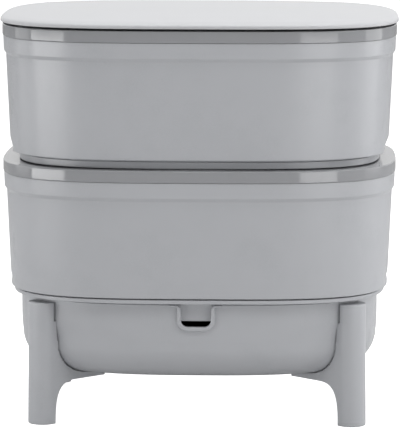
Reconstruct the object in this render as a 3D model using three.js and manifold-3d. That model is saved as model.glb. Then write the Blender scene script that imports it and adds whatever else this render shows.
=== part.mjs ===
// Two-tray wormery in moulded plastic: a collector tub on four plug-on corner legs, two stacking
// worm trays with snap-on rim frames, and a lift-off lid. Millimetres, +Z up, pouring notch
// to the front (-Y), origin on the floor below the middle.
import * as THREE from "three";
import { mergeVertices } from "three/addons/utils/BufferGeometryUtils.js";
import Module from "manifold-3d";

const wasm = await Module();
wasm.setup();

// Shared sizes
const lidWidth = 491;
const lidDepth = 380;
const mouthInsetX = 24; // from the lid's ends to the tub's wall and to every collar that takes a skirt
const mouthInsetY = 21;
const wall = 3;
const gap = 0.3; // between pieces that touch
const overrun = 5; // of every cutter past what it cuts
const mouthWidth = lidWidth - 2 * mouthInsetX;
const mouthDepth = lidDepth - 2 * mouthInsetY;

// Corner shape of the plan outlines: 2 is an ellipse, higher powers are squarer
const squarePowers = [3.48, 3.18];
const ledgePowers = [3.0, 3.0];
const roundPowers = [2.8, 2.8];
const quarterSteps = 10;

// Collector tub
const tubFloorHeight = 53.5; // underside of the sump above the ground
const tubHeight = 153.8; // top of the lip
const sumpInset = 110;
const sumpSlopeInset = 75;
const sumpSlopeRise = 1.5;
const heelInset = 43; // where the bottom fillet ends
const heelRise = 6.5;
const heelRadius = 42;
const heelSteps = 5;
const tubDraft = 1; // wall inset just above the heel
const lipHeight = 2.7;
const lipProud = 1.5;
const lipChamfer = 0.7;
const shoulderDrop = 26.7; // from the lip's top to where the corner shoulders over the legs begin
const shoulderDraft = 0.3;

// Pouring notch in the tub's front wall
const notchWidth = 36;
const notchDepth = 27.1;
const notchRadius = 8;
const beadWidth = 5;
const beadProud = 1.8;

// Worm trays
const trayInset = 5.6; // of the wall's top, from the lid's outline
const trayDraft = 4.4; // further inset at the wall's bottom
const trayEdgeRadius = 1.5;
const collarInset = 3.2;
const collarHeight = 14; // plain collar below the rim frame
const collarStepHeight = 16; // soft step from the collar to the wall
const stepBendShares = [0.35, 0.4]; // the step's bend, inwards and down, as shares of the step
const trayWallHeight = 143.4; // wall's bottom edge to the rim frame
const skirtDrop = 27; // skirt below the wall's bottom edge
const ledgeDrop = 6; // ring below the wall's bottom edge that rests on the piece below
const skirtChamfer = 1.5;
const gripLength = 176;
const gripHeight = 22;
const gripDepth = 10.5;
const gripSill = 2.5; // edge left below each grip of the lower tray

// Drain slots in each tray's floor
const slotWidth = 7;
const slotBar = 12; // left between the ends of two slots
const slotColumns = 6;
const slotRows = 8;
const slotBorderX = 54; // from the mouth's outline to the outer slots
const slotBorderY = 53.5;

// Rim frames
const rimInset = 1.2;
const rimHeight = 13.6;
const rimChamfer = 1;
const rimCollarHeight = 4.1; // raised mouth above the flange

// Lid
const lidEdgeHeight = 4.5;
const lidEdgeGap = 1.4; // dark line between the lid's edge and the rim frame
const lidRise = 13.5; // from the edge's top to the crown
const lidSpigotDrop = 11; // locating spigot below the seat
const lidSpigotWall = 2.5;

// Legs
const legInsetX = 33.3; // of a leg's axis from the tub's widest
const legInsetY = 41;
const legRadius = 18;
const legFootRadius = 2.5;
const legTopGap = 0.6; // below the tub's lip
const webTipInsetX = 101;
const webTipInsetY = 86;
const webTipRadius = 5;
const webFloorHeight = 51.9;
const webFilletRise = 34.8;
const webFilletReach = 36;
const webFilletPower = 3; // 2 is an ellipse, higher powers have a tighter corner
const webFilletSteps = 10;
const railHeight = 18;
const railDrop = 5; // rail's top below the tub's lip
const railDepth = 5;
const railRootWidth = 7;
const railHeadWidth = 11;

// Places that follow from the tub's size
const shoulderHeight = tubHeight - shoulderDrop;
const notchBottom = tubHeight - notchDepth;
const legX = mouthWidth / 2 - legInsetX;
const legY = mouthDepth / 2 - legInsetY;
const webTipX = mouthWidth / 2 - webTipInsetX;
const webTipY = mouthDepth / 2 - webTipInsetY;
const slotPitchX = (mouthWidth - 2 * slotBorderX + slotBar) / slotColumns;
const slotLength = slotPitchX - slotBar;
const slotPitchY = (mouthDepth - 2 * slotBorderY - slotWidth) / (slotRows - 1);

// Heights of the stack, from the ground up
const seatDrop = ledgeDrop + gap;
const lowerTrayZ = tubHeight + seatDrop;
const trayPitch = trayWallHeight + rimHeight + rimCollarHeight + seatDrop;
const upperTrayZ = lowerTrayZ + trayPitch;
const lowerRimZ = lowerTrayZ + trayWallHeight;
const upperRimZ = upperTrayZ + trayWallHeight;
const lidSeatZ = upperRimZ + rimHeight + rimCollarHeight + gap;
const lidEdgeZ = upperRimZ + rimHeight + lidEdgeGap;

// A plan outline is a superellipse with a half width, a half depth and two powers.
const outline = (width, depth, powers) => ({ x: width / 2, y: depth / 2, powers });
const lidOutline = outline(lidWidth, lidDepth, squarePowers);
const seatOutline = outline(mouthWidth, mouthDepth, squarePowers);
const shoulderOutline = outline(mouthWidth, mouthDepth, ledgePowers);
const mouthOutline = outline(mouthWidth, mouthDepth, roundPowers);

function pointOn(shape, inset, angle) {
  const c = Math.cos(angle);
  const s = Math.sin(angle);
  const x = Math.sign(c) * (shape.x - inset) * Math.abs(c) ** (2 / shape.powers[0]);
  const y = Math.sign(s) * (shape.y - inset) * Math.abs(s) ** (2 / shape.powers[1]);
  return [x, y];
}

// Angles of one quarter, spaced evenly in length and in turning, so that corners get more points.
function quarterAngles() {
  const samples = 2000;
  const points = [];
  for (let i = 0; i <= samples; i++) {
    points.push(pointOn(lidOutline, 0, (i / samples) * (Math.PI / 2)));
  }
  const lengths = [0];
  const turns = [0];
  let heading = Math.PI / 2;
  for (let i = 1; i <= samples; i++) {
    const dx = points[i][0] - points[i - 1][0];
    const dy = points[i][1] - points[i - 1][1];
    const next = Math.atan2(dy, dx);
    lengths.push(lengths[i - 1] + Math.hypot(dx, dy));
    turns.push(turns[i - 1] + Math.abs(next - heading));
    heading = next;
  }
  const share = (i) => (lengths[i] / lengths[samples] + turns[i] / turns[samples]) / 2;
  const angles = [];
  let i = 0;
  for (let step = 0; step < quarterSteps; step++) {
    while (share(i) < step / quarterSteps) i++;
    angles.push((i / samples) * (Math.PI / 2));
  }
  return angles;
}

const quarter = quarterAngles();
const ringAngles = [
  ...quarter,
  Math.PI / 2,
  ...quarter.slice(1).reverse().map((a) => Math.PI - a),
  Math.PI,
  ...quarter.slice(1).map((a) => Math.PI + a),
  (3 * Math.PI) / 2,
  ...quarter.slice(1).reverse().map((a) => 2 * Math.PI - a),
];

// Skins a body from rows of [outline, inset, z]. The rows run from the bottom's middle outwards,
// up the outside and back to the middle. A closed skin joins its last row to its first instead.
function loft(rows, closed = false) {
  const n = ringAngles.length;
  const positions = [];
  for (const [shape, inset, z] of rows) {
    for (const angle of ringAngles) positions.push(...pointOn(shape, inset, angle), z);
  }
  const index = [];
  const bands = closed ? rows.length : rows.length - 1;
  for (let row = 0; row < bands; row++) {
    const low = row * n;
    const high = ((row + 1) % rows.length) * n;
    for (let j = 0; j < n; j++) {
      const k = (j + 1) % n;
      index.push(low + j, low + k, high + k, low + j, high + k, high + j);
    }
  }
  if (!closed) {
    const first = positions.length / 3;
    positions.push(0, 0, rows[0][2], 0, 0, rows[rows.length - 1][2]);
    const top = (rows.length - 1) * n;
    for (let j = 0; j < n; j++) {
      const k = (j + 1) % n;
      index.push(first, k, j, first + 1, top + j, top + k);
    }
  }
  const geometry = new THREE.BufferGeometry();
  geometry.setAttribute("position", new THREE.Float32BufferAttribute(positions, 3));
  geometry.setIndex(index);
  return geometry;
}

// The outer or inner skin of a rounded heel, from the fillet's end up to the wall.
function heelRows(shape, inset, z, radius, wallInset) {
  const rows = [];
  for (let step = 0; step <= heelSteps; step++) {
    const turn = (step / heelSteps) * (Math.PI / 2);
    const across = (inset - wallInset) * (1 - Math.sin(turn));
    rows.push([shape, wallInset + across, z + radius * (1 - Math.cos(turn))]);
  }
  return rows;
}

function bare(geometry) {
  geometry.deleteAttribute("normal");
  geometry.deleteAttribute("uv");
  return geometry;
}

function solid(geometry) {
  const merged = mergeVertices(bare(geometry));
  const vertProperties = merged.attributes.position.array;
  const triVerts = new Uint32Array(merged.index.array);
  return new wasm.Manifold(new wasm.Mesh({ numProp: 3, vertProperties, triVerts }));
}

function geometryOf(body) {
  const mesh = body.getMesh();
  const geometry = new THREE.BufferGeometry();
  geometry.setAttribute("position", new THREE.BufferAttribute(mesh.vertProperties, 3));
  geometry.setIndex(new THREE.BufferAttribute(mesh.triVerts, 1));
  return geometry;
}

function extruded(shape, depth, curveSegments) {
  return new THREE.ExtrudeGeometry(shape, { depth, bevelEnabled: false, curveSegments });
}

// Collector tub

function tubRows(grow = 0) {
  const floor = tubFloorHeight - grow;
  return [
    [mouthOutline, sumpInset - grow, floor],
    [mouthOutline, sumpSlopeInset - grow, floor + sumpSlopeRise],
    ...heelRows(mouthOutline, heelInset - grow, floor + heelRise, heelRadius, tubDraft - grow),
    [mouthOutline, shoulderDraft - grow, shoulderHeight - shoulderDraft],
    [shoulderOutline, -grow, shoulderHeight],
  ];
}

// A U outline, open side up, seen from the front.
function notchShape(width, bottom, radius, top) {
  const half = width / 2;
  const shape = new THREE.Shape();
  shape.moveTo(-half, top);
  shape.lineTo(-half, bottom + radius);
  shape.absarc(-half + radius, bottom + radius, radius, Math.PI, 1.5 * Math.PI, false);
  shape.absarc(half - radius, bottom + radius, radius, 1.5 * Math.PI, 2 * Math.PI, false);
  shape.lineTo(half, top);
  return shape;
}

// A prism of a front outline, from a depth behind the tub's front face to one before it.
function frontPrism(shape, behind, before) {
  const geometry = extruded(shape, behind + before, 4);
  geometry.rotateX(Math.PI / 2);
  geometry.translate(0, behind - mouthDepth / 2, 0);
  return solid(geometry);
}

// Directions at a leg: inward from its axis to the middle of the tub
const legAngle = Math.atan2(legY, legX);
const legReach = Math.hypot(legX, legY);

// Puts a shape that was made at the axis, +X to the tub's middle, at one of the four corners.
function atCorner(geometry, signX, signY) {
  const placed = mergeVertices(geometry);
  placed.rotateZ(Math.PI + legAngle);
  placed.translate(legX, legY, 0);
  placed.scale(signX, signY, 1);
  if (signX * signY < 0) {
    const index = placed.index.array;
    for (let i = 0; i < index.length; i += 3) {
      [index[i + 1], index[i + 2]] = [index[i + 2], index[i + 1]];
    }
  }
  return placed;
}

// Radius of the tub's shoulder outline in the direction of a leg
function shoulderReach() {
  const [a, b] = shoulderOutline.powers;
  const x = (Math.cos(legAngle) / shoulderOutline.x) ** a;
  const y = (Math.sin(legAngle) / shoulderOutline.y) ** b;
  return (x + y) ** (-1 / a);
}

// Dovetail rail on the tub's corner, or with grow the slot for it, at the leg's axis.
function railGeometry(grow, bottom, top) {
  const face = legReach - shoulderReach();
  const root = face + wall / 2;
  const head = face - railDepth - grow;
  const shape = new THREE.Shape();
  shape.moveTo(root, -railRootWidth / 2 - grow);
  shape.lineTo(root, railRootWidth / 2 + grow);
  shape.lineTo(head, railHeadWidth / 2 + grow);
  shape.lineTo(head, -railHeadWidth / 2 - grow);
  const geometry = bare(extruded(shape, top - bottom, 1));
  geometry.translate(0, 0, bottom);
  return geometry;
}

const corners = [
  { name: "front_left", signX: -1, signY: -1 },
  { name: "front_right", signX: 1, signY: -1 },
  { name: "back_left", signX: -1, signY: 1 },
  { name: "back_right", signX: 1, signY: 1 },
];
const lipBottom = tubHeight - lipHeight;
const railTop = lipBottom - railDrop + legTopGap;
const railBottom = railTop - railHeight;

function collectorTub() {
  const inner = tubFloorHeight + wall;
  const cup = loft([
    ...tubRows(),
    [shoulderOutline, 0, lipBottom],
    [seatOutline, -lipProud, lipBottom],
    [seatOutline, -lipProud, tubHeight - lipChamfer],
    [seatOutline, lipChamfer - lipProud, tubHeight],
    [mouthOutline, wall, tubHeight],
    [mouthOutline, wall + shoulderDraft, shoulderHeight],
    ...heelRows(mouthOutline, heelInset, inner + heelRise, heelRadius - wall, tubDraft + wall)
      .reverse(),
    [mouthOutline, sumpSlopeInset, inner + sumpSlopeRise],
    [mouthOutline, sumpInset, inner],
  ]);
  const opening = notchShape(notchWidth, notchBottom, notchRadius, tubHeight + overrun);
  const outerWidth = notchWidth + 2 * beadWidth;
  const outer = notchShape(
    outerWidth, notchBottom - beadWidth, notchRadius + beadWidth, tubHeight - lipChamfer);
  let body = solid(cup).add(frontPrism(outer, wall / 2, beadProud));
  body = body.subtract(frontPrism(opening, wall + overrun, beadProud + overrun));
  for (const { signX, signY } of corners) {
    const rail = railGeometry(0, railBottom, railTop);
    body = body.add(solid(atCorner(rail, signX, signY)));
  }
  return geometryOf(body);
}

// Legs

// Horizontal section: a round column that tapers to a narrow tip towards the tub's middle.
function legSection(reach) {
  const turn = Math.acos((legRadius - webTipRadius) / reach);
  const shape = new THREE.Shape();
  shape.absarc(0, 0, legRadius, turn, 2 * Math.PI - turn, false);
  shape.absarc(reach, 0, webTipRadius, -turn, turn, false);
  return shape;
}

// Side outline: only the column below the web, then a fillet, then the web under the tub.
function legSide(reach, top) {
  const far = reach + webTipRadius + overrun;
  const near = (legRadius * (legRadius - webTipRadius)) / reach;
  const low = webFloorHeight - webFilletRise;
  const shape = new THREE.Shape();
  shape.moveTo(near, low);
  for (let step = 1; step <= webFilletSteps; step++) {
    const turn = (step / webFilletSteps) * (Math.PI / 2);
    const x = near + webFilletReach * (1 - Math.cos(turn) ** (2 / webFilletPower));
    shape.lineTo(x, low + webFilletRise * Math.sin(turn) ** (2 / webFilletPower));
  }
  shape.lineTo(far, webFloorHeight);
  shape.lineTo(far, top + overrun);
  shape.lineTo(0, top + overrun);
  shape.lineTo(0, low);
  return shape;
}

function legGeometry() {
  const top = lipBottom - legTopGap;
  const reach = Math.hypot(legX - webTipX, legY - webTipY);
  const columnSides = 24;
  const profile = [
    new THREE.Vector2(0, 0),
    new THREE.Vector2(legRadius - legFootRadius, 0),
    new THREE.Vector2(legRadius, legFootRadius),
    new THREE.Vector2(legRadius, top),
    new THREE.Vector2(0, top),
  ];
  const column = new THREE.LatheGeometry(profile, columnSides);
  column.rotateX(Math.PI / 2);
  const web = solid(extruded(legSection(reach), top, 12));
  const side = extruded(legSide(reach, top), 2 * (legRadius + overrun), 4);
  side.rotateX(Math.PI / 2);
  side.translate(0, legRadius + overrun, 0);
  return solid(column).add(web.intersect(solid(side)));
}

function leg({ signX, signY }) {
  const tub = loft([
    ...tubRows(gap),
    [shoulderOutline, -gap, tubHeight + overrun],
  ]);
  const slot = railGeometry(gap, railBottom - gap, tubHeight + overrun);
  const standing = solid(atCorner(geometryOf(legGeometry()), signX, signY));
  return geometryOf(standing.subtract(solid(tub)).subtract(solid(atCorner(slot, signX, signY))));
}

// Worm trays

function gripScoop(side, z, sill, grow) {
  const scoop = new THREE.SphereGeometry(1, 28, 14);
  scoop.rotateX(Math.PI / 2);
  scoop.scale(gripDepth + grow, gripLength / 2 + grow, gripHeight + grow);
  scoop.translate(side * (lidWidth / 2 - trayInset - trayDraft), 0, z);
  return sill > 0 ? solid(scoop).trimByPlane([0, 0, 1], z + sill) : solid(scoop);
}

function drainSlot() {
  const half = (slotLength - slotWidth) / 2;
  const radius = slotWidth / 2;
  const shape = new THREE.Shape();
  shape.absarc(half, 0, radius, -Math.PI / 2, Math.PI / 2, false);
  shape.absarc(-half, 0, radius, Math.PI / 2, 1.5 * Math.PI, false);
  return extruded(shape, wall + 2 * overrun, 1);
}

function wormTray(z, sill = 0) {
  const skirt = wall + gap;
  const tongue = rimInset + wall + gap;
  const lowInset = trayInset + trayDraft;
  const rimZ = z + trayWallHeight - gap;
  const tongueTop = z + trayWallHeight + rimHeight - wall - gap;
  const stepTop = rimZ - collarHeight;
  const [bendIn, bendDown] = stepBendShares;
  const bendZ = stepTop - collarStepHeight * bendDown;
  const bendInset = collarInset + (trayInset - collarInset) * bendIn;
  const edge = trayEdgeRadius;
  const soft = edge * (1 - Math.SQRT1_2);
  const outer = loft([
    [mouthOutline, skirt + skirtChamfer, z - skirtDrop],
    [mouthOutline, skirt, z - skirtDrop + skirtChamfer],
    [mouthOutline, skirt, z - ledgeDrop],
    [seatOutline, -lipProud, z - ledgeDrop],
    [seatOutline, -lipProud, z],
    [lidOutline, lowInset + edge, z],
    [lidOutline, lowInset + soft, z + soft],
    [lidOutline, lowInset, z + edge],
    [lidOutline, trayInset, stepTop - collarStepHeight],
    [lidOutline, bendInset, bendZ],
    [lidOutline, collarInset, stepTop],
    [lidOutline, collarInset, rimZ],
    [lidOutline, tongue, rimZ],
    [lidOutline, tongue, tongueTop],
  ]);
  const inner = loft([
    [mouthOutline, skirt + wall, z - skirtDrop + wall],
    [mouthOutline, skirt + wall, z + wall],
    [lidOutline, lowInset + wall, z + wall],
    [lidOutline, tongue + wall, rimZ],
    [lidOutline, tongue + wall, tongueTop + overrun],
  ]);
  let body = solid(outer);
  let hollow = solid(inner);
  for (const side of [-1, 1]) {
    body = body.subtract(gripScoop(side, z, sill, 0));
    hollow = hollow.subtract(gripScoop(side, z, 0, wall));
  }
  body = body.subtract(hollow);
  for (let column = 0; column < slotColumns; column++) {
    for (let row = 0; row < slotRows; row++) {
      const slot = drainSlot();
      const x = (column - (slotColumns - 1) / 2) * slotPitchX;
      const y = (row - (slotRows - 1) / 2) * slotPitchY;
      slot.translate(x, y, z - skirtDrop - overrun);
      body = body.subtract(solid(slot));
    }
  }
  return geometryOf(body);
}

// Rim frames: an outer band, a flange and a collared mouth, over the tray's thin top edge

function rimFrame(z) {
  const top = z + rimHeight;
  const collar = top + rimCollarHeight;
  const under = top - wall;
  return loft([
    [lidOutline, rimInset, z],
    [lidOutline, rimInset, top - rimChamfer],
    [lidOutline, rimInset + rimChamfer, top],
    [mouthOutline, 0, top],
    [mouthOutline, 0, collar],
    [mouthOutline, wall, collar],
    [mouthOutline, wall, z],
    [mouthOutline, 0, z],
    [mouthOutline, 0, under],
    [lidOutline, rimInset + wall, under],
    [lidOutline, rimInset + wall, z],
  ], true);
}

// Lid: domed shell with a seat and a locating spigot like the trays' ledge and skirt

// Dome outline as shares of half the depth (inset) and of the rise (height)
const domeShares = [
  [0.004, 0.12],
  [0.026, 0.285],
  [0.074, 0.41],
  [0.158, 0.5],
  [0.316, 0.65],
  [0.579, 0.86],
  [0.8, 1],
];

function lid() {
  const edgeTop = lidEdgeZ + lidEdgeHeight;
  const half = lidDepth / 2;
  const skirt = wall + gap;
  const dome = domeShares.map(([inset, height]) => [inset * half, edgeTop + height * lidRise]);
  const under = dome.map(([inset, z]) => [lidOutline, inset + wall, z - wall]);
  const ceiling = dome[3][1] - wall;
  return loft([
    [lidOutline, under[5][1], under[5][2]],
    [lidOutline, under[4][1], under[4][2]],
    [mouthOutline, skirt + lidSpigotWall, ceiling],
    [mouthOutline, skirt + lidSpigotWall, lidSeatZ - lidSpigotDrop],
    [mouthOutline, skirt, lidSeatZ - lidSpigotDrop],
    [mouthOutline, skirt, lidSeatZ],
    [seatOutline, -lipProud, lidSeatZ],
    [seatOutline, -lipProud, ceiling],
    under[2],
    under[1],
    [lidOutline, wall, edgeTop - wall / 2],
    [lidOutline, wall, lidEdgeZ],
    [lidOutline, 0, lidEdgeZ],
    [lidOutline, 0, edgeTop],
    ...dome.map(([inset, z]) => [lidOutline, inset, z]),
  ]);
}

// The finished object

const satin = { color: 0xa4a7ac, roughness: 0.42, metalness: 0 };
const gloss = { color: 0x94979c, roughness: 0.2, metalness: 0 };

const wormery = new THREE.Group();

function piece(name, geometry, finish) {
  geometry.computeVertexNormals();
  const mesh = new THREE.Mesh(geometry, new THREE.MeshStandardMaterial(finish));
  mesh.name = name;
  wormery.add(mesh);
}

piece("collector_tub", collectorTub(), satin);
for (const corner of corners) piece(`leg_${corner.name}`, leg(corner), satin);
piece("lower_tray", wormTray(lowerTrayZ, gripSill), satin);
piece("lower_rim_frame", rimFrame(lowerRimZ), gloss);
piece("upper_tray", wormTray(upperTrayZ), satin);
piece("upper_rim_frame", rimFrame(upperRimZ), gloss);
piece("lid", lid(), satin);

export default wormery;
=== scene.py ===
"""Looks of a two-tray wormery in moulded grey plastic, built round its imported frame."""

import logging
import math
from dataclasses import dataclass
from enum import Enum
from typing import Any, Sequence

import bmesh
import bpy
import numpy as np
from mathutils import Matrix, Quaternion, Vector


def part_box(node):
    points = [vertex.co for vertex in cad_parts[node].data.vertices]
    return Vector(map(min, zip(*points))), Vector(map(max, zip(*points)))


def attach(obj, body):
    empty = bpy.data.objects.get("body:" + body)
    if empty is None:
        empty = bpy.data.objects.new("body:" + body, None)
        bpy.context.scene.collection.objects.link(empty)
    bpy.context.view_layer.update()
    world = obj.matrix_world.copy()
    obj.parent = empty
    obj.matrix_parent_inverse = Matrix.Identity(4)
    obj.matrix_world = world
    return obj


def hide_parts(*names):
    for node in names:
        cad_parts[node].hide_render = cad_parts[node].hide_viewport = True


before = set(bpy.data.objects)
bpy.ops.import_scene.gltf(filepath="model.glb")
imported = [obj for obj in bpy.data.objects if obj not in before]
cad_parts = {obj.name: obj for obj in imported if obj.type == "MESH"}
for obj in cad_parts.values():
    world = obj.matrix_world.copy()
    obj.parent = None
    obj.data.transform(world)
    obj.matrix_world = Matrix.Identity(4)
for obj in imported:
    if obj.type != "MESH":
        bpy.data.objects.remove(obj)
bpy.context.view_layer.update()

MM = 0.001
QUARTER = math.pi / 2
QUARTER_STEPS = 64
QUARTER_SAMPLES = 4001
ARC_POINTS = 9
EDGE_STEPS = 5
EDGE_SHARE = 0.48
HALVINGS = 22
TINY = 1e-9
WELD_DISTANCE = 0.004 * MM
SLIVER_LENGTH = 0.002 * MM
SHARP_ANGLE = math.radians(38)
LAMP_AIM = Vector((0, 0, 0.25))
FLAT_LAMP_DEPTH = 0.75
LOG = logging.getLogger("wormery")


class Corner(Enum):
    """The corners of the tub that carry a leg, as signs along X and Y."""

    FRONT_LEFT = (-1, -1)
    FRONT_RIGHT = (1, -1)
    BACK_LEFT = (-1, 1)
    BACK_RIGHT = (1, 1)


class Cap(Enum):
    """How a skin of rings ends."""

    MIDDLE = "middle"
    LOOP = "loop"


# Shader graphs


class Port:
    """A shader socket that takes part in Python expressions."""

    def __init__(self, graph: "Graph", socket: bpy.types.NodeSocket) -> None:
        """Wraps one output socket of a graph."""
        self.graph = graph
        self.socket = socket

    def _math(self, operation: str, first: Any, second: Any) -> "Port":
        """Adds one Math node and returns its result."""
        return self.graph.make("ShaderNodeMath", {"operation": operation}, {0: first, 1: second})

    def __add__(self, other: Any) -> "Port":
        """Sum with a number or a port."""
        return self._math("ADD", self, other)

    def __rsub__(self, other: Any) -> "Port":
        """Difference from a number on the left."""
        return self._math("SUBTRACT", other, self)

    def __mul__(self, other: Any) -> "Port":
        """Product with a number or a port."""
        return self._math("MULTIPLY", self, other)


class Graph:
    """A node tree that is filled by expressions."""

    def __init__(self, tree: bpy.types.NodeTree) -> None:
        """Empties a node tree and keeps it."""
        tree.nodes.clear()
        self.tree = tree

    def node(
        self, kind: str, settings: dict[str, Any] | None = None,
        inputs: dict[Any, Any] | None = None,
    ) -> bpy.types.Node:
        """Adds a node.

        Args:
            kind: Blender's name of the node type.
            settings: Attributes to set before the sockets.
            inputs: Values or ports by socket name or index.

        Returns:
            The new node.
        """
        made = self.tree.nodes.new(kind)
        for name, value in (settings or {}).items():
            setattr(made, name, value)
        for name, value in (inputs or {}).items():
            if isinstance(value, Port):
                self.tree.links.new(value.socket, made.inputs[name])
            else:
                made.inputs[name].default_value = value
        return made

    def make(
        self, kind: str, settings: dict[str, Any] | None = None,
        inputs: dict[Any, Any] | None = None, output: Any = 0,
    ) -> Port:
        """Adds a node as node() does, and returns one of its outputs as a port."""
        return Port(self, self.node(kind, settings, inputs).outputs[output])

    def mix_colour(self, share: Any, first: Any, second: Any) -> Port:
        """Blends two colours by a share and returns the colour."""
        mixed = self.node("ShaderNodeMix", {"data_type": "RGBA"}, {0: share, 6: first, 7: second})
        return Port(self, mixed.outputs[2])


def rgba(colour: Sequence[float]) -> tuple[float, float, float, float]:
    """Adds a full alpha to a colour of three numbers."""
    return (colour[0], colour[1], colour[2], 1.0)


@dataclass(frozen=True)
class MouldedPlastic:
    """A pigmented polypropylene moulding with the fine grain of its tool; the lid's finish also has
    painted top light in its colour.
    """

    name: str
    slot: str
    colour: tuple[float, float, float]
    roughness: float
    grain_size: float = 0.55 * MM
    grain_depth: float = 0.012 * MM
    grain_roughness: float = 0.6
    mottle_size: float = 70 * MM
    mottle_roughness: float = 0.45
    mottle: float = 0.03
    noise_detail: float = 2.0
    gloss_variation: float = 0.05
    specular: float = 0.5
    refraction: float = 1.49

    def shade(self, factor: float) -> tuple[float, float, float, float]:
        """Returns the colour times a factor: the pigment's, plus painted top light on the lid."""
        return rgba([channel * factor for channel in self.colour])

    def material(self) -> bpy.types.Material:
        """Builds the material from shader nodes."""
        material = bpy.data.materials.new(self.name)
        material.use_nodes = True
        graph = Graph(material.node_tree)
        place = graph.make("ShaderNodeTexCoord", output="Object")
        cloud, grain = (
            graph.make(
                "ShaderNodeTexNoise", None,
                {"Vector": place, "Scale": 1 / size, "Detail": self.noise_detail,
                 "Roughness": roughness})
            for size, roughness in (
                (self.mottle_size, self.mottle_roughness),
                (self.grain_size, self.grain_roughness)))
        colour = graph.mix_colour(cloud, self.shade(1 - self.mottle), self.shade(1 + self.mottle))
        rough = (cloud + grain) * self.gloss_variation + (self.roughness - self.gloss_variation)
        bump = graph.make(
            "ShaderNodeBump", None,
            {"Strength": 1.0, "Distance": self.grain_depth, "Height": grain}, "Normal")
        plastic = graph.make(
            "ShaderNodeBsdfPrincipled", None,
            {"Base Color": colour, "Roughness": rough, "Normal": bump, "IOR": self.refraction,
             "Specular IOR Level": self.specular})
        graph.node("ShaderNodeOutputMaterial", None, {"Surface": plastic})
        return material


# Rings and skins


@dataclass(frozen=True)
class Outline:
    """A superellipse seen from above, the plan shape of every moulding."""

    half_width: float
    half_depth: float
    power_x: float
    power_y: float

    def ring(self, inset: float, height: float, angles: np.ndarray) -> np.ndarray:
        """Places a ring of points.

        Args:
            inset: Distance to draw the outline in by.
            height: Height above the floor.
            angles: Parameter angles of the points.

        Returns:
            An array of one point a row.
        """
        c, s = np.cos(angles), np.sin(angles)
        x = np.sign(c) * (self.half_width - inset) * np.abs(c) ** (2 / self.power_x)
        y = np.sign(s) * (self.half_depth - inset) * np.abs(s) ** (2 / self.power_y)
        return np.column_stack([x, y, np.full_like(x, height)])

    def angle_at(self, depth: float) -> float:
        """Returns the parameter angle in the first quarter where y is a given depth."""
        return math.asin((depth / self.half_depth) ** (self.power_y / 2))

    def inside(self, x: float, y: float, inset: float) -> float:
        """Returns a value under 1 inside the outline and over 1 outside."""
        across = abs(x / (self.half_width - inset)) ** self.power_x
        return across + abs(y / (self.half_depth - inset)) ** self.power_y


@dataclass(frozen=True)
class Plan:
    """The shared plan outlines of the stack."""

    seat_powers: tuple[float, float] = (3.48, 3.18)
    shoulder_powers: tuple[float, float] = (3.0, 3.0)
    mouth_powers: tuple[float, float] = (2.8, 2.8)
    mouth_half_width: float = 221.5 * MM
    mouth_half_depth: float = 169 * MM

    def lid(self) -> Outline:
        """Outline of the lid, from the size of its CAD node."""
        low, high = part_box("lid")
        return Outline((high.x - low.x) / 2, (high.y - low.y) / 2, *self.seat_powers)

    def seat(self) -> Outline:
        """Squarish outline of the ledges that the pieces sit on."""
        return Outline(self.mouth_half_width, self.mouth_half_depth, *self.seat_powers)

    def shoulder(self) -> Outline:
        """Outline of the tub's wall above the legs' shoulders."""
        return Outline(self.mouth_half_width, self.mouth_half_depth, *self.shoulder_powers)

    def mouth(self) -> Outline:
        """Rounder outline of the tub, the mouths and the skirts in them."""
        return Outline(self.mouth_half_width, self.mouth_half_depth, *self.mouth_powers)


@dataclass(frozen=True)
class Station:
    """One ring of a skin, with the radius that softens its edge."""

    outline: Outline
    inset: float
    height: float
    radius: float = 0.0


def arc(middle: float, radius: float, turns: Sequence[float]) -> list[tuple[float, float]]:
    """Returns points on a circle whose middle lies on the first axis."""
    return [(middle + radius * math.cos(t), radius * math.sin(t)) for t in turns]


def even_angles(outline: Outline, steps: int = QUARTER_STEPS) -> np.ndarray:
    """Spaces the angles of a quarter evenly in length and in turning.

    Args:
        outline: The outline that they are spaced on.
        steps: How many steps the quarter has.

    Returns:
        Angles from 0 up to, but without, a right angle.
    """
    samples = np.linspace(0, QUARTER, QUARTER_SAMPLES)
    points = outline.ring(0, 0, samples)[:, :2]
    moves = np.diff(points, axis=0)
    lengths = np.concatenate([[0], np.cumsum(np.hypot(moves[:, 0], moves[:, 1]))])
    heading = np.arctan2(moves[:, 1], moves[:, 0])
    turns = np.concatenate([[0, 0], np.cumsum(np.abs(np.diff(heading)))])
    share = (lengths / lengths[-1] + turns / turns[-1]) / 2
    return np.interp(np.arange(steps) / steps, share, samples)


def whole_turn(quarter: np.ndarray) -> np.ndarray:
    """Mirrors a quarter's angles into a full turn of angles."""
    inner = quarter[1:]
    return np.concatenate([
        quarter, [QUARTER], (math.pi - inner)[::-1], [math.pi], math.pi + inner,
        [3 * QUARTER], (2 * math.pi - inner)[::-1],
    ])


def part_way(way: np.ndarray, distance: float, share: float) -> np.ndarray:
    """Shortens each row of ways to a distance, or to a share of its length if that is less."""
    length = np.maximum(np.linalg.norm(way, axis=1, keepdims=True), TINY)
    return way / length * np.minimum(distance, share * length)


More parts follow.
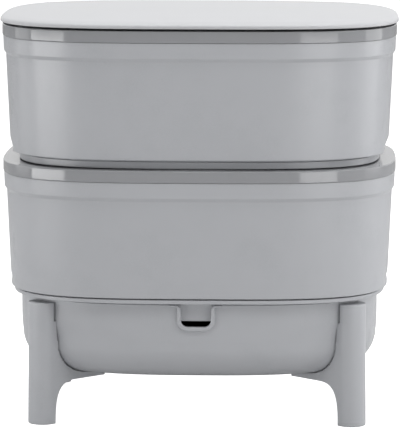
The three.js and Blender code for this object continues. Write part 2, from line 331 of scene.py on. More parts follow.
def softened(rings: list[np.ndarray], radii: Sequence[float], closed: bool) -> list[np.ndarray]:
    """Rounds the edges of a stack of rings.

    Args:
        rings: Rings from first to last.
        radii: Radius of the edge at each ring.
        closed: Whether the last ring joins the first.

    Returns:
        The rings, with several in the place of each rounded one.
    """
    done = []
    for i, (ring, radius) in enumerate(zip(rings, radii)):
        if radius <= 0 or (not closed and i in (0, len(rings) - 1)):
            done.append(ring)
            continue
        before = rings[i - 1] - ring
        after = rings[(i + 1) % len(rings)] - ring
        start, end = (ring + part_way(way, radius, EDGE_SHARE) for way in (before, after))
        for step in range(EDGE_STEPS + 1):
            t = step / EDGE_STEPS
            done.append((1 - t) ** 2 * start + 2 * t * (1 - t) * ring + t * t * end)
    return done


def stack(
    stations: Sequence[Station], angles: np.ndarray, closed: bool = False
) -> list[np.ndarray]:
    """Makes the rings of stations and rounds their edges, also across the ends if closed."""
    rings = [s.outline.ring(s.inset, s.height, angles) for s in stations]
    return softened(rings, [s.radius for s in stations], closed)


def refined(rings: list[np.ndarray], low: float, high: float, spacing: float) -> list[np.ndarray]:
    """Adds rings between those that lie in a band of heights.

    Args:
        rings: Rings from first to last.
        low: Lowest height of the band.
        high: Highest height of the band.
        spacing: Largest distance between rings there.

    Returns:
        The rings with the added ones.
    """
    done = [rings[0]]
    for here, there in zip(rings, rings[1:]):
        length = float(np.max(np.linalg.norm(there - here, axis=1)))
        start, end = float(here[0, 2]), float(there[0, 2])
        marks = [(mark - start) / (end - start) for mark in (low, high)
                 if (start - mark) * (end - mark) < 0]
        shares = [0.0, *sorted(marks), 1.0]
        for first, last in zip(shares, shares[1:]):
            middle = start + (end - start) * (first + last) / 2
            pieces = math.ceil(length * (last - first) / spacing) if low <= middle <= high else 1
            for i in range(1, pieces + 1):
                done.append(here + (there - here) * (first + (last - first) * i / pieces))
    return done


def skin(name: str, rings: list[np.ndarray], cap: Cap) -> bpy.types.Object:
    """Makes a mesh object from rings.

    Args:
        name: Name of the object.
        rings: Rings of equally many points, from the bottom's middle outwards and up.
        cap: Whether both ends close at the middle, or the last ring joins the first.

    Returns:
        The new object, linked to the scene.
    """
    count = len(rings[0])
    vertices = np.concatenate(rings).tolist()
    faces = []
    bands = len(rings) if cap is Cap.LOOP else len(rings) - 1
    for row in range(bands):
        low, high = row * count, (row + 1) % len(rings) * count
        for j in range(count):
            k = (j + 1) % count
            faces.append((low + j, low + k, high + k, high + j))
    if cap is Cap.MIDDLE:
        faces.append(tuple(range(count - 1, -1, -1)))
        top = (len(rings) - 1) * count
        faces.append(tuple(range(top, top + count)))
    return mesh_object(name, vertices, faces)


def mesh_object(name: str, vertices: Sequence, faces: Sequence) -> bpy.types.Object:
    """Makes a linked object from lists of vertices and faces."""
    mesh = bpy.data.meshes.new(name)
    mesh.from_pydata([tuple(v) for v in vertices], [], [tuple(f) for f in faces])
    mesh.validate()
    return linked(name, mesh)


def linked(name: str, data: bpy.types.ID) -> bpy.types.Object:
    """Makes an object from its data and links it to the scene."""
    made = bpy.data.objects.new(name, data)
    bpy.context.scene.collection.objects.link(made)
    return made


def final_mesh(piece: bpy.types.Object) -> bpy.types.Mesh:
    """Returns a plain mesh of an object as its modifiers or curve settings leave it."""
    graph = bpy.context.evaluated_depsgraph_get()
    return bpy.data.meshes.new_from_object(piece.evaluated_get(graph))


def joined(name: str, parts: Sequence[bpy.types.Object]) -> bpy.types.Object:
    """Joins mesh objects that lie at the origin into one, and removes them."""
    vertices: list = []
    faces: list = []
    for part in parts:
        first = len(vertices)
        vertices.extend(tuple(v.co) for v in part.data.vertices)
        faces.extend(tuple(first + i for i in face.vertices) for face in part.data.polygons)
        bpy.data.objects.remove(part)
    return mesh_object(name, vertices, faces)


def cut(piece: bpy.types.Object, tool: bpy.types.Object) -> None:
    """Cuts a piece with a tool, which is used up."""
    change = piece.modifiers.new("cut", "BOOLEAN")
    change.operation = "DIFFERENCE"
    change.solver = "EXACT"
    change.object = tool
    bpy.context.view_layer.update()
    old, mesh = piece.data, final_mesh(piece)
    piece.modifiers.clear()
    piece.data = mesh
    bpy.data.meshes.remove(old)
    bpy.data.objects.remove(tool)


def welded(piece: bpy.types.Object) -> None:
    """Joins the points of a piece that lie on each other, and drops faces without area."""
    form = bmesh.new()
    form.from_mesh(piece.data)
    bmesh.ops.remove_doubles(form, verts=form.verts, dist=WELD_DISTANCE)
    bmesh.ops.dissolve_degenerate(form, edges=form.edges, dist=SLIVER_LENGTH)
    form.to_mesh(piece.data)
    form.free()


def dress(piece: bpy.types.Object, finish: MouldedPlastic, body: str, node: str) -> None:
    """Smooths a piece, gives it its finish and puts it in a CAD node's place.

    Args:
        piece: The visible mesh.
        finish: Its finish.
        body: The CAD body that it rides on.
        node: The CAD node that it stands for.
    """
    welded(piece)
    for face in piece.data.polygons:
        face.use_smooth = True
    piece.data.set_sharp_from_angle(angle=SHARP_ANGLE)
    weighted = piece.modifiers.new("weighted", "WEIGHTED_NORMAL")
    weighted.keep_sharp = True
    piece.data.materials.clear()
    piece.data.materials.append(FINISHES[finish.name])
    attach(piece, body)
    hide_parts(node)
    LOG.info("%s: %d faces on body %s", piece.name, len(piece.data.polygons), body)


BODY_GREY = MouldedPlastic("satin_grey_plastic", "satin_grey", (0.45, 0.459, 0.481), 0.28)
RIM_GREY = MouldedPlastic(
    "gloss_grey_plastic", "gloss_grey", (0.30, 0.305, 0.318), 0.09, grain_depth=0.002 * MM,
    gloss_variation=0.01)
# The lid uses the body's grey plastic, made lighter: the extra lightness is painted top light,
# standing in for the stronger light on the lid's top.
LID_GREY_PAINTED_TOP_LIGHT = MouldedPlastic("lid_plastic_painted_top_light", "lid_grey", (0.50, 0.505, 0.52), 0.36)
FINISHES = {finish.name: finish.material() for finish in (BODY_GREY, RIM_GREY, LID_GREY_PAINTED_TOP_LIGHT)}


# Sub-assemblies


@dataclass
class LidShell:
    """The low domed lid, with its seat and locating spigot underneath."""

    # The finish is the grey plastic lightened with painted top light.
    finish, body, node = LID_GREY_PAINTED_TOP_LIGHT, "lid", "lid"
    plan: Plan
    wall: float = 3 * MM
    edge_height: float = 4.5 * MM
    edge_lift: float = 1.9 * MM
    edge_drop: float = 0.4 * MM
    edge_radius: float = 1.2 * MM
    rise: float = 13.5 * MM
    clearance: float = 0.3 * MM
    seat_above_edge: float = 3.0 * MM
    spigot_drop: float = 11 * MM
    spigot_wall: float = 2.5 * MM
    ledge_proud: float = 1.5 * MM
    fine_radius: float = 0.8 * MM
    inner_radius: float = 2 * MM
    dome_radius: float = 4 * MM
    crown_share: float = 0.8
    dome_shares: tuple[tuple[float, float], ...] = (
        (0.004, 0.12), (0.012, 0.21), (0.026, 0.285), (0.048, 0.35), (0.074, 0.41),
        (0.158, 0.5), (0.316, 0.65), (0.579, 0.86),
    )

    def build(self) -> bpy.types.Object:
        """Builds the lid's mesh."""
        outline, mouth, seat = self.plan.lid(), self.plan.mouth(), self.plan.seat()
        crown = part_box("lid")[1].z
        edge_top = crown - self.rise
        edge = edge_top - self.edge_height
        seat_z = edge + self.seat_above_edge
        half = outline.half_depth
        dome = [(a * half, edge_top + b * self.rise) for a, b in self.dome_shares]
        # The underside follows four of the dome's rings, with the spigot between them.
        under = [Station(outline, a + self.wall, z - self.wall) for a, z in dome]
        ceiling = dome[5][1] - self.wall
        skirt = self.wall + self.clearance
        soft = self.fine_radius
        stations = [
            under[7], under[6],
            Station(mouth, skirt + self.spigot_wall, ceiling, self.inner_radius),
            Station(mouth, skirt + self.spigot_wall, seat_z - self.spigot_drop, soft),
            Station(mouth, skirt, seat_z - self.spigot_drop, soft),
            Station(mouth, skirt, seat_z, soft),
            Station(seat, -self.ledge_proud, seat_z, soft),
            Station(seat, -self.ledge_proud, ceiling, soft),
            under[4], under[2],
            Station(outline, self.wall, edge_top - self.wall / 2, soft),
            Station(outline, self.wall, edge + self.edge_lift, soft),
            Station(outline, 0, edge + self.edge_lift, soft),
            Station(outline, 0, edge_top - self.edge_drop, self.edge_radius),
            *[Station(outline, a, z, self.dome_radius) for a, z in dome],
            Station(outline, half * self.crown_share, crown),
        ]
        rings = stack(stations, whole_turn(even_angles(outline)))
        return skin("lid_shell", rings, Cap.MIDDLE)


@dataclass
class RimFrame:
    """A glossy ring over a tray's top edge: band, flange and raised mouth collar."""

    finish = RIM_GREY
    plan: Plan
    tray: str
    wall: float = 3 * MM
    inset: float = 2.4 * MM
    collar_height: float = 3.6 * MM
    edge_radius: float = 1.2 * MM
    fine_radius: float = 0.7 * MM

    @property
    def node(self) -> str:
        """Name of the CAD node."""
        return f"{self.tray}_rim_frame"

    @property
    def body(self) -> str:
        """Name of the tray's body, which the frame rides on."""
        return f"{self.tray}_tray"

    def build(self) -> bpy.types.Object:
        """Builds the frame's mesh."""
        outline, mouth = self.plan.lid(), self.plan.mouth()
        low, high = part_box(self.node)
        collar = high.z
        top = collar - self.collar_height
        fine = self.fine_radius
        stations = [
            Station(outline, self.inset, low.z, fine),
            Station(outline, self.inset, top, self.edge_radius),
            Station(mouth, 0, top, self.edge_radius),
            Station(mouth, 0, collar, fine),
            Station(mouth, self.wall, collar, fine),
            Station(mouth, self.wall, low.z, fine),
            Station(mouth, 0, low.z, fine),
            Station(mouth, 0, top - self.wall, fine),
            Station(outline, self.inset + self.wall, top - self.wall, fine),
            Station(outline, self.inset + self.wall, low.z, fine),
        ]
        rings = stack(stations, whole_turn(even_angles(outline)), closed=True)
        return skin(f"{self.tray}_rim", rings, Cap.LOOP)


@dataclass
class WormTray:
    """A stacking tray: collar, tapered wall with a grip at each end, skirt and slotted floor."""

    finish = BODY_GREY
    plan: Plan
    name: str
    wall: float = 3 * MM
    clearance: float = 0.3 * MM
    top_inset: float = 6.6 * MM
    draft: float = 5.1 * MM
    edge_radius: float = 1.0 * MM
    fine_radius: float = 0.5 * MM
    step_radius: float = 0.7 * MM
    lip_radius: float = 0.6 * MM
    foot_radius: float = 1.5 * MM
    shelf_radius: float = 3 * MM
    floor_radius: float = 2 * MM
    collar_inset: float = 3.3 * MM
    collar_draft: float = 0.6 * MM
    collar_height: float = 18.6 * MM
    step_height: float = 4.0 * MM
    wall_height: float = 143.4 * MM
    rim_inset: float = 2.4 * MM
    skirt_drop: float = 27 * MM
    ledge_drop: float = 6 * MM
    ledge_proud: float = 1.5 * MM
    ledge_groove: float = 0.6 * MM
    lip_drop: float = 8.7 * MM
    lip_gap: float = 0.4 * MM
    edge_rise: float = 1.9 * MM
    grip_length: float = 176 * MM
    grip_height: float = 19 * MM
    grip_power: float = 3.2
    grip_depth: float = 10.2 * MM
    grip_edge_share: float = 0.06
    grip_sill: float = 0.0
    sill_ramp: float = 2 * MM
    grip_margin: float = 8 * MM
    grip_below: float = 1 * MM
    grip_spacing: float = 1.6 * MM
    grip_steps: int = 46
    angle_gap: float = 0.01
    slot_length: float = 45.83 * MM
    slot_width: float = 7 * MM
    slot_columns: int = 6
    slot_rows: int = 8
    slot_pitch_x: float = 57.83 * MM
    slot_pitch_y: float = 32 * MM
    floor_border: float = 12 * MM
    floor_edge: float = 0.4 * MM
    floor_edge_steps: int = 2
    floor_steps: int = 32

    @property
    def node(self) -> str:
        """Name of the CAD node, which is also that of its body."""
        return f"{self.name}_tray"

    body = node

    def base(self) -> float:
        """Height of the wall's bottom edge, from the CAD node."""
        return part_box(self.node)[0].z + self.skirt_drop

    def angles(self) -> np.ndarray:
        """Angles of a ring, closer together at the grips."""
        outline = self.plan.lid()
        reach, steps = self.grip_length / 2 + self.grip_margin, self.grip_steps
        fine = [outline.angle_at(reach * i / steps) for i in range(steps + 1)]
        coarse = [a for a in even_angles(outline) if a > fine[-1] + self.angle_gap]
        return whole_turn(np.array(fine + coarse))

    def dented(self, rings: list[np.ndarray], inner: float) -> list[np.ndarray]:
        """Pushes the ends of the wall in at the grips.

        Args:
            rings: Rings of the outer or the inner face.
            inner: How far the face lies inside the outer one.

        Returns:
            The dented rings.
        """
        outline = self.plan.lid()
        wall_x = outline.half_width - self.top_inset - self.draft - inner
        seat_x = self.plan.mouth_half_width + self.ledge_proud
        if inner:
            seat_x = self.plan.mouth_half_width - self.wall - self.clearance - inner
        half, height = self.grip_length / 2 + inner, self.grip_height + inner
        done = []
        for ring in rings:
            moved = ring.copy()
            along, up = np.abs(ring[:, 1] / half), np.abs((ring[:, 2] - self.base()) / height)
            away = (along ** self.grip_power + up ** self.grip_power) ** (1 / self.grip_power)
            scoop = np.sqrt(np.clip(1 - away ** 2, 0, 1))
            rim = np.clip((1 - away) / self.grip_edge_share, 0, 1)
            share = np.clip((np.abs(ring[:, 0]) - seat_x) / (wall_x - seat_x), 0, 1)
            push = self.grip_depth * scoop * rim * rim * (3 - 2 * rim) * share
            if self.grip_sill:
                above = ring[:, 2] - self.base() - self.grip_sill
                push = push * np.clip(above / self.sill_ramp, 0, 1)
            moved[:, 0] -= np.sign(ring[:, 0]) * push
            done.append(moved)
        return done

    def shell(self) -> bpy.types.Object:
        """Builds the wall, shelf and skirt as one closed ring."""
        outline, mouth, seat = self.plan.lid(), self.plan.mouth(), self.plan.seat()
        z, wall = self.base(), self.wall
        skirt = wall + self.clearance
        tongue = self.rim_inset + wall + self.clearance
        low_inset = self.top_inset + self.draft
        rim_z = z + self.wall_height - self.clearance
        tongue_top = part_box(self.node)[1].z
        step_top = rim_z - self.collar_height
        foot = z - self.skirt_drop
        border = skirt + self.floor_border
        fine = self.fine_radius
        seated = min(self.ledge_drop, self.lip_drop)
        outside = [
            Station(mouth, border, foot),
            Station(mouth, skirt, foot, self.foot_radius),
            Station(mouth, skirt, z - seated, fine),
            Station(seat, -self.lip_gap, z - seated),
            Station(seat, -self.lip_gap, z - self.lip_drop),
            Station(seat, -self.ledge_proud, z - self.lip_drop, self.lip_radius),
            Station(seat, -self.ledge_proud, z - self.ledge_groove, self.step_radius),
            Station(seat, self.ledge_groove, z - self.ledge_groove, fine),
            Station(seat, self.ledge_groove, z + self.edge_rise, fine),
            Station(outline, low_inset, z + self.edge_rise, self.edge_radius),
            Station(outline, self.top_inset, step_top - self.step_height, self.step_radius),
            Station(outline, self.collar_inset + self.collar_draft, step_top, self.step_radius),
            Station(outline, self.collar_inset, rim_z, fine),
            Station(outline, tongue, rim_z, fine),
            Station(outline, tongue, tongue_top, fine),
        ]
        inside = [
            Station(outline, tongue + wall, tongue_top, fine),
            Station(outline, tongue + wall, rim_z),
            Station(outline, low_inset + wall, z + wall, self.shelf_radius),
            Station(mouth, skirt + wall, z + wall, self.shelf_radius),
            Station(mouth, skirt + wall, foot + wall, self.floor_radius),
            Station(mouth, border, foot + wall),
        ]
        angles = self.angles()
        low, high = z - self.grip_below, z + self.grip_height + self.grip_margin
        rings = []
        for stations, inner in ((outside, 0.0), (inside, wall)):
            fine_rings = refined(stack(stations, angles), low, high, self.grip_spacing)
            rings += self.dented(fine_rings, inner)
        return skin(f"{self.name}_tray_shell", rings, Cap.LOOP)

    def floor(self) -> bpy.types.Object:
        """Builds the floor plate with its drain slots."""
        curve = bpy.data.curves.new(f"{self.name}_tray_floor", "CURVE")
        curve.dimensions = "2D"
        curve.fill_mode = "BOTH"
        curve.bevel_depth = self.floor_edge
        curve.bevel_resolution = self.floor_edge_steps
        curve.extrude = self.wall / 2 - curve.bevel_depth
        mouth = self.plan.mouth()
        inset = self.wall + self.clearance + self.floor_border - curve.bevel_depth
        angles = whole_turn(even_angles(mouth, self.floor_steps))
        self.spline(curve, mouth.ring(inset, 0, angles))
        for column in range(self.slot_columns):
            for row in range(self.slot_rows):
                x = (column - (self.slot_columns - 1) / 2) * self.slot_pitch_x
                y = (row - (self.slot_rows - 1) / 2) * self.slot_pitch_y
                self.spline(curve, self.slot_points(x, y, curve.bevel_depth))
        plate = linked(curve.name, curve)
        mesh = final_mesh(plate)
        bpy.data.objects.remove(plate)
        made = linked(mesh.name, mesh)
        middle = self.base() - self.skirt_drop + self.wall / 2
        for vertex in made.data.vertices:
            vertex.co.z += middle
        return made

    def slot_points(self, x: float, y: float, grow: float) -> np.ndarray:
        """Returns the outline of one drain slot, round at both ends."""
        half = (self.slot_length - self.slot_width) / 2
        radius = self.slot_width / 2 + grow
        right = np.array(arc(half, radius, np.linspace(-QUARTER, QUARTER, ARC_POINTS)))
        return np.concatenate([right, -right]) + (x, y)

    @staticmethod
    def spline(curve: bpy.types.Curve, points: np.ndarray) -> None:
        """Adds a closed line of points to a curve."""
        line = curve.splines.new("POLY")
        line.points.add(len(points) - 1)
        for place, point in zip(line.points, points):
            place.co = (float(point[0]), float(point[1]), 0.0, 1.0)
        line.use_cyclic_u = True

    def build(self) -> bpy.types.Object:
        """Builds the tray's mesh."""
        return joined(f"{self.name}_tray_moulding", [self.shell(), self.floor()])


@dataclass
class CollectorTub:
    """The liquid collector: a round-heeled tub with a beaded pouring notch."""

    finish, body, node = BODY_GREY, "base", "collector_tub"
    plan: Plan
    wall: float = 3 * MM
    floor_height: float = 53.5 * MM
    sump_inset: float = 110 * MM
    slope_inset: float = 75 * MM
    slope_rise: float = 1.5 * MM
    heel_inset: float = 43 * MM
    heel_rise: float = 6.5 * MM
    heel_radius: float = 42 * MM
    heel_steps: int = 16
    draft: float = 1 * MM
    shoulder_height: float = 127.1 * MM
    shoulder_blend: float = 16 * MM
    lip_height: float = 0.8 * MM
    lip_groove: float = 0.9 * MM
    notch_width: float = 36 * MM
    notch_bottom: float = 126.7 * MM
    notch_radius: float = 8 * MM
    bead_width: float = 5 * MM
    bead_proud: float = 3.4 * MM
    bead_drop: float = 1.4 * MM
    bead_radius: float = 1.4 * MM
    bead_round_share: float = 0.8
    bead_overlap: float = 0.4 * MM
    flare: float = 5 * MM
    flare_steps: int = 6
    flare_run: float = 6 * MM
    thin_share: float = 0.35
    thin_rings: int = 8
    edge_radius: float = 0.5 * MM
    blend_radius: float = 6 * MM
    low_edges: int = 3
    inner_drop: float = 20 * MM
    cutter_reach: float = 8 * MM

    def heel(self, grow: float) -> list[tuple[float, float]]:
        """Profile of the outside up to the shoulder, swollen: pairs of inset and height."""
        floor = self.floor_height - grow
        pairs = [(self.sump_inset - grow, floor), (self.slope_inset - grow, floor + self.slope_rise)]
        for step in range(self.heel_steps + 1):
            turn = step / self.heel_steps * QUARTER
            across = (self.heel_inset - self.draft) * (1 - math.sin(turn))
            up = self.heel_radius * (1 - math.cos(turn))
            pairs.append((self.draft - grow + across, floor + self.heel_rise + up))
        return pairs

    def inset_at(self, height: float, grow: float) -> float:
        """Returns the outside's inset at a height, or infinity below the tub."""
        pairs = self.heel(grow)
        pairs.append((-grow, self.shoulder_height))
        heights = [pair[1] for pair in pairs]
        if height < heights[0]:
            return math.inf
        return float(np.interp(height, heights, [pair[0] for pair in pairs]))

    def build(self) -> bpy.types.Object:
        """Builds the tub's mesh."""
        mouth, shoulder = self.plan.mouth(), self.plan.shoulder()
        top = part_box("collector_tub")[1].z
        lip, step_z, wall = top - self.lip_height, self.shoulder_height, self.wall
        fine, soft = self.edge_radius, self.blend_radius
        outside = [Station(mouth, a, z, soft if i < self.low_edges else 0.0)
                   for i, (a, z) in enumerate(self.heel(0))]
        outside += [
            Station(mouth, 0, step_z - self.shoulder_blend, soft),
            Station(shoulder, 0, step_z, soft),
            Station(shoulder, 0, lip, fine),
            Station(mouth, self.lip_groove, lip, fine),
            Station(mouth, self.lip_groove, top, fine),
            Station(mouth, wall, top, fine),
        ]
        inside = [Station(mouth, a + (wall if a < self.heel_inset else 0), z + wall)
                  for a, z in self.heel(0)]
        inside = [s for s in inside if s.height < step_z - self.inner_drop][::-1]
        rings = stack(outside + inside, whole_turn(even_angles(mouth)))
        cup = skin("tub_cup", rings, Cap.MIDDLE)
        cut(cup, self.notch_cutter(top))
        return joined("collector_tub_moulding", [cup, self.bead(top - self.bead_drop)])

    def notch_line(self, half: float, bottom: float, radius: float, top: float) -> np.ndarray:
        """Returns the points of a U in the front plane, from the left top to the right top."""
        turned = np.array(arc(0, radius, np.linspace(0, QUARTER, ARC_POINTS)))
        left = (radius - half, radius + bottom) - turned
        left = np.vstack([[-half, top], left])
        return np.concatenate([left, left[::-1] * (-1, 1)])

    def notch_cutter(self, top: float) -> bpy.types.Object:
        """Builds the prism that opens the notch in the front wall."""
        inside, over = self.bead_overlap, self.cutter_reach
        line = self.notch_line(
            self.notch_width / 2 + inside, self.notch_bottom - inside, self.notch_radius,
            top + over)
        front = -self.plan.mouth_half_depth
        rings = [np.insert(line[::-1], 1, y, axis=1)
                 for y in (front - over, front + self.wall + over)]
        return skin("notch_cutter", rings, Cap.MIDDLE)

    def bead(self, end_z: float) -> bpy.types.Object:
        """Builds the bead round the notch, which flares into the tub's edge at a height."""
        half = (self.notch_width + self.bead_width) / 2
        bottom = self.notch_bottom - self.bead_width / 2
        radius = self.notch_radius + self.bead_width / 2
        flare = self.flare
        line = self.notch_line(half, bottom, radius, end_z - flare)
        turn = np.linspace(0, QUARTER, self.flare_steps + 1)[1:]
        right = np.column_stack([
            half + flare - flare * np.cos(turn), end_z - flare + flare * np.sin(turn)])
        right = np.vstack([right, [right[-1, 0] + self.flare_run, end_z]])
        path = np.concatenate([right[::-1] * (-1, 1), line, right])
        front = -self.plan.mouth_half_depth
        proud, back = front - self.bead_proud, front + self.wall
        rings = []
        for i, point in enumerate(path):
            before, after = path[max(i - 1, 0)], path[min(i + 1, len(path) - 1)]
            along = (after - before) / np.linalg.norm(after - before)
            across = np.array([-along[1], along[0]])
            fullness = min(i, len(path) - 1 - i, self.thin_rings) / self.thin_rings
            wide = self.bead_width / 2 * (self.thin_share + (1 - self.thin_share) * fullness)
            rings.append(self.bead_section(point, across, wide, proud, back))
        return skin("notch_bead", rings, Cap.MIDDLE)

    def bead_section(
        self, point: np.ndarray, across: np.ndarray, wide: float, proud: float, back: float
    ) -> list[tuple[float, float, float]]:
        """Returns one rounded section of the bead, across its path."""
        soft = min(self.bead_radius, wide * self.bead_round_share)
        places = [(-wide + soft - soft * math.cos(t), proud + soft - soft * math.sin(t))
                  for t in np.linspace(0, QUARTER, EDGE_STEPS + 1)]
        places += [(-a, y) for a, y in places[::-1]]
        places += [(wide, back), (-wide, back)]
        return [(point[0] + across[0] * a, y, point[1] + across[1] * a)
                for a, y in places[::-1]]


@dataclass
class CornerLeg:
    """A round column at a corner of the tub, with a web that reaches under the tub."""

    finish, body = BODY_GREY, "base"
    plan: Plan
    tub: CollectorTub
    corner: Corner
    axis: tuple[float, float] = (188.2 * MM, 128 * MM)
    radius: float = 18 * MM
    foot_radius: float = 1.6 * MM
    top_radius: float = 1.4 * MM
    tip: tuple[float, float] = (120.5 * MM, 83 * MM)
    tip_radius: float = 5 * MM
    web_height: float = 51.9 * MM
    foot_reach: float = 8.5 * MM
    arch_reach: float = 34 * MM
    arch_power: float = 3.2
    lean: float = 0.012
    clearance: float = 0.9 * MM
    seam: float = 0.5 * MM
    lean_share: float = 1.5
    draw_share: float = 0.9
    shoulder_gap: float = 0.2 * MM
    sides: int = 72
    web_rows: int = 16
    arch_rows: int = 30
    slope_rows: int = 5
    rise_rows: int = 10
    heel_rows: int = 14

    @property
    def node(self) -> str:
        """Name of the CAD node."""
        return f"leg_{self.corner.name.lower()}"

    def inward(self) -> tuple[np.ndarray, float]:
        """Returns the direction from the column's axis to the web's tip, and the distance."""
        way = np.array(self.tip) - np.array(self.axis)
        reach = float(np.linalg.norm(way))
        return way / reach, reach

    def section(self, limit: float) -> np.ndarray:
        """Draws the leg's drop-shaped section, cut off square at a distance from the axis.

        Args:
            limit: Distance of the cut, or infinity for the whole drop.

        Returns:
            Points as offsets from the column's axis.
        """
        along, reach = self.inward()
        across = np.array([-along[1], along[0]])
        turn = math.acos((self.radius - self.tip_radius) / reach)
        column = arc(0, self.radius, np.linspace(turn, 2 * math.pi - turn, self.sides))
        end = np.linspace(-turn, turn, self.sides // 3)
        inner = arc(reach, self.tip_radius, end)
        near, far = column[0], inner[-1]
        if limit < far[0]:
            share = (limit - near[0]) / (far[0] - near[0])
            far = (limit, near[1] + (far[1] - near[1]) * share)
            inner = [(limit, far[1] * t / turn) for t in end]
        steps = [i / (self.sides // 2) for i in range(1, self.sides // 2)]
        low = [(near[0] + (far[0] - near[0]) * t, -near[1] - (far[1] - near[1]) * t)
               for t in steps]
        high = [(a, -w) for a, w in low[::-1]]
        return np.array([along * a + across * w for a, w in column + low + inner + high])

    def underside(self, height: float) -> float:
        """Returns how far inward the leg reaches at a height below the web's flat underside."""
        if height >= self.web_height:
            return self.foot_reach + self.arch_reach
        share = max(height, 0.0) / self.web_height
        curve = (1 - share ** self.arch_power) ** (1 / self.arch_power)
        return self.foot_reach + self.arch_reach * (1 - curve)

    def outside_tub(self, offset: np.ndarray, height: float) -> float:
        """Returns the share of a ray from the axis that stays clear of the tub.

        Args:
            offset: The ray's end, from the column's axis.
            height: Height of the section.

        Returns:
            A share from 0 to 1.
        """
        floor = self.tub.floor_height
        heel = (floor + self.tub.heel_rise, floor + self.tub.heel_radius)
        gap = self.clearance + self.seam * float(np.interp(height, heel, (0.0, 1.0)))
        if height > self.tub.shoulder_height:
            outline, inset = self.plan.shoulder(), -gap
        else:
            outline, inset = self.plan.mouth(), self.tub.inset_at(height, gap)
        if math.isinf(inset):
            return 1.0

        def clear(share: float) -> bool:
            """Tells whether the ray's point at a share lies outside the tub."""
            return outline.inside(*(self.axis + offset * share), inset) > 1

        low, high = 0.0, 1.0
        if clear(high):
            return high
        for _ in range(HALVINGS):
            middle = (low + high) / 2
            low, high = (middle, high) if clear(middle) else (low, middle)
        return low

    def ring(self, height: float, below_web: bool) -> np.ndarray:
        """Returns the leg's section at a height, before it is placed at its corner."""
        limit = self.underside(height) if below_web else math.inf
        offsets = self.section(limit)
        shares = np.array([[self.outside_tub(offset, height)] for offset in offsets])
        ring = np.insert(self.axis + offsets * shares, 2, height, axis=1)
        leaning = min(height, self.lean_share * self.web_height)
        ring[:, 0] += self.lean * (self.web_height / 2 - leaning)
        return ring

    def heights(self, top: float) -> list[tuple[float, bool]]:
        """Lists the heights of the rings, and whether they lie below the web's underside."""
        first, steps, power = self.foot_radius / self.web_height, self.arch_rows, self.arch_power
        shares = set(np.linspace(first, 1, self.web_rows).round(6))
        shares |= {round((1 - (1 - i / steps) ** power) ** (1 / power), 6)
                   for i in range(1, steps)}
        below = [self.web_height * share for share in sorted(shares) if share >= first]
        floor = self.tub.floor_height - self.clearance
        slope = floor + self.tub.slope_rise
        heel = slope + self.tub.heel_rise
        step = self.tub.shoulder_height
        above = [
            self.web_height,
            *np.linspace(floor, slope, self.slope_rows),
            *np.linspace(slope, heel, self.rise_rows)[1:],
            *[heel + self.tub.heel_radius * (1 - math.cos(i / self.heel_rows * QUARTER))
              for i in range(1, self.heel_rows + 1)],
            step - self.shoulder_gap, step + self.shoulder_gap, top - self.top_radius,
        ]
        return [(height, True) for height in below] + [(height, False) for height in above]

    def build(self) -> bpy.types.Object:
        """Builds the leg's mesh."""
        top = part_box(self.node)[1].z
        rings = [self.ring(*row) for row in self.heights(top)]
        rings = self.eased(rings[0], 0.0, self.foot_radius, True) + rings
        rings += self.eased(rings[-1], top, self.top_radius, False)
        # A leg that is mirrored once has its rings reversed, so its faces look outwards.
        signs = self.corner.value
        placed = [ring[::math.prod(signs)] * (*signs, 1) for ring in rings]
        return skin(f"{self.node}_moulding", placed, Cap.MIDDLE)

    def eased(self, ring: np.ndarray, end: float, radius: float, rising: bool) -> list[np.ndarray]:
        """Returns rings that round off an end of the column.

        Args:
            ring: The full section next to the end.
            end: Height of the end.
            radius: Radius of the rounding.
            rising: Whether the rings run up from the end or up to it.

        Returns:
            The rings, from the lowest up.
        """
        inward = ring[:, :2].mean(axis=0) - ring[:, :2]
        done = []
        for step in range(EDGE_STEPS):
            turn = step / EDGE_STEPS * QUARTER
            flat, steep = radius * (1 - math.cos(turn)), radius * (1 - math.sin(turn))
            drawn, height = (steep, end + flat) if rising else (flat, end - steep)
            moved = ring.copy()
            moved[:, :2] += part_way(inward, drawn, self.draw_share)
            moved[:, 2] = height
            done.append(moved)
        if rising:
            return done
        last = done[-1].copy()
        last[:, 2] = end
        return [*done[1:], last]


# Studio


def around(azimuth: float, distance: float, height: float) -> Vector:
    """Returns the place at an angle to the right of the front, in degrees."""
    turn = math.radians(azimuth)
    return Vector((math.sin(turn) * distance, -math.cos(turn) * distance, height))


@dataclass(frozen=True)
class Panel:
    """A softbox that faces the object, at an angle to the right of the camera."""

    name: str
    azimuth: float
    distance: float
    bottom: float
    top: float
    width: float
    radiance: float

    def lamp(self) -> bpy.types.Object:
        """Builds the lamp and links it to the scene."""
        data = bpy.data.lights.new(self.name, "AREA")
        data.shape = "RECTANGLE"
        height = self.top - self.bottom
        data.size = self.width
        data.size_y = height if height else self.width * FLAT_LAMP_DEPTH
        data.energy = self.radiance * math.pi * data.size * data.size_y
        made = linked(self.name, data)
        made.location = around(self.azimuth, self.distance, (self.top + self.bottom) / 2)
        toward = LAMP_AIM - made.location
        made.rotation_euler = toward.to_track_quat("-Z", "Y").to_euler()
        return made


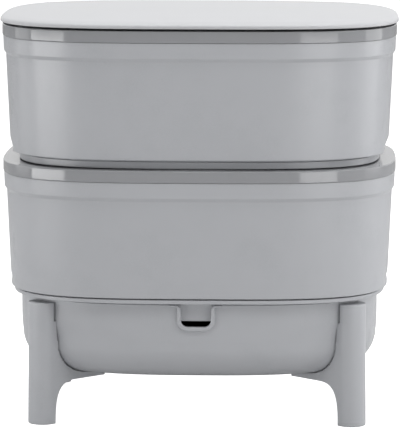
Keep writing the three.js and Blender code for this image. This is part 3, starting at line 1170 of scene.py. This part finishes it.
@dataclass
class Studio:
    """A white sweep with soft lamps, and the camera of the photograph."""

    camera_distance: float = 4.060
    camera_height: float = 0.8055
    camera_azimuth: float = 1.7
    roll: float = 0.1
    aim: tuple[float, float, float] = (-0.0002, 0.0, 0.2408)
    frame_width: int = 400
    frame_height: int = 428
    focal_pixels: float = 3274.0
    sensor: float = 36.0
    clip_end: float = 60.0
    floor_sides: int = 96
    floor_radius: float = 9.0
    floor_colour: tuple[float, float, float] = (0.62, 0.62, 0.62)
    floor_lift: float = 0.93
    sky_front: float = 0.06
    sky_back: float = 0.90
    panels: tuple[Panel, ...] = (
        Panel("left_panel", -61, 2.2, 0.02, 0.32, 1.5, 6.5),
        Panel("right_panel", 34, 2.2, 0.02, 0.32, 1.0, 4.2),
        Panel("right_key", 62, 2.4, 0.5, 2.3, 1.5, 2.2),
        Panel("front_top", -5, 1.5, 1.9, 2.9, 2.6, 1.9),
        Panel("right_side", 98, 2.2, 0.05, 1.2, 1.3, 2.1),
        Panel("left_side", -98, 2.2, 0.05, 0.9, 1.1, 1.3),
    )
    overhead: Panel = Panel("overhead", 0, 0.0, 2.6, 2.6, 2.4, 2.6)

    def camera(self) -> None:
        """Places the camera."""
        data = bpy.data.cameras.new("camera")
        data.sensor_width = self.sensor
        data.lens = self.focal_pixels / max(self.frame_width, self.frame_height) * self.sensor
        data.clip_end = self.clip_end
        camera = linked("camera", data)
        camera.location = around(self.camera_azimuth, self.camera_distance, self.camera_height)
        toward = Vector(self.aim) - camera.location
        level = toward.to_track_quat("-Z", "Y")
        camera.rotation_euler = (
            level @ Quaternion((0, 0, 1), math.radians(self.roll))).to_euler()
        bpy.context.scene.camera = camera

    def floor(self) -> None:
        """Lays the white floor, which still takes the object's shadow."""
        turns = np.linspace(0, 2 * math.pi, self.floor_sides + 1)[:-1]
        points = [(x, y, 0.0) for x, y in arc(0, self.floor_radius, turns)]
        floor = mesh_object("floor", points, [tuple(range(len(points)))])
        material = bpy.data.materials.new("white_floor")
        material.use_nodes = True
        graph = Graph(material.node_tree)
        seen = graph.make("ShaderNodeLightPath", output="Is Camera Ray")
        paint = graph.make("ShaderNodeBsdfDiffuse", None, {"Color": rgba(self.floor_colour)})
        glow = graph.make(
            "ShaderNodeEmission", None,
            {"Color": rgba((1, 1, 1)), "Strength": seen * self.floor_lift})
        both = graph.make("ShaderNodeAddShader", None, {0: paint, 1: glow})
        graph.node("ShaderNodeOutputMaterial", None, {"Surface": both})
        floor.data.materials.append(material)

    def world(self) -> None:
        """Sets a sky that is dim at the front and bright at the back, and that the camera sees as
        white.
        """
        world = bpy.data.worlds.new("sky")
        bpy.context.scene.world = world
        world.use_nodes = True
        graph = Graph(world.node_tree)
        seen = graph.make("ShaderNodeLightPath", output="Is Camera Ray")
        way = graph.make("ShaderNodeTexCoord", output="Generated")
        back = graph.make("ShaderNodeSeparateXYZ", None, {0: way}, "Y") * 0.5 + 0.5
        room = back * (self.sky_back - self.sky_front) + self.sky_front
        strength = seen + (1 - seen) * room
        sky = graph.make(
            "ShaderNodeBackground", None, {"Color": rgba((1, 1, 1)), "Strength": strength})
        graph.node("ShaderNodeOutputWorld", None, {"Surface": sky})

    def light(self) -> None:
        """Hangs the softboxes."""
        for panel in (self.overhead, *self.panels):
            panel.lamp()

    def build(self) -> None:
        """Builds the whole studio."""
        self.camera()
        self.floor()
        self.world()
        self.light()
        bpy.context.scene.view_settings.view_transform = "Standard"


def main() -> None:
    """Builds the studio and every sub-assembly."""
    logging.basicConfig(level=logging.INFO, format="%(name)s: %(message)s")
    Studio().build()
    plan = Plan()
    tub = CollectorTub(plan)
    assemblies: list[Any] = [LidShell(plan)]
    lower = WormTray(
        plan, "lower", lip_drop=4.4 * MM, ledge_proud=8.5 * MM, ledge_groove=-0.2 * MM,
        grip_sill=5.0 * MM)
    for tray in (WormTray(plan, "upper"), lower):
        assemblies += [RimFrame(plan, tray.name), tray]
    assemblies.append(tub)
    assemblies += [CornerLeg(plan, tub, corner) for corner in Corner]
    for assembly in assemblies:
        dress(assembly.build(), assembly.finish, assembly.body, assembly.node)


if __name__ == "__main__":
    main()
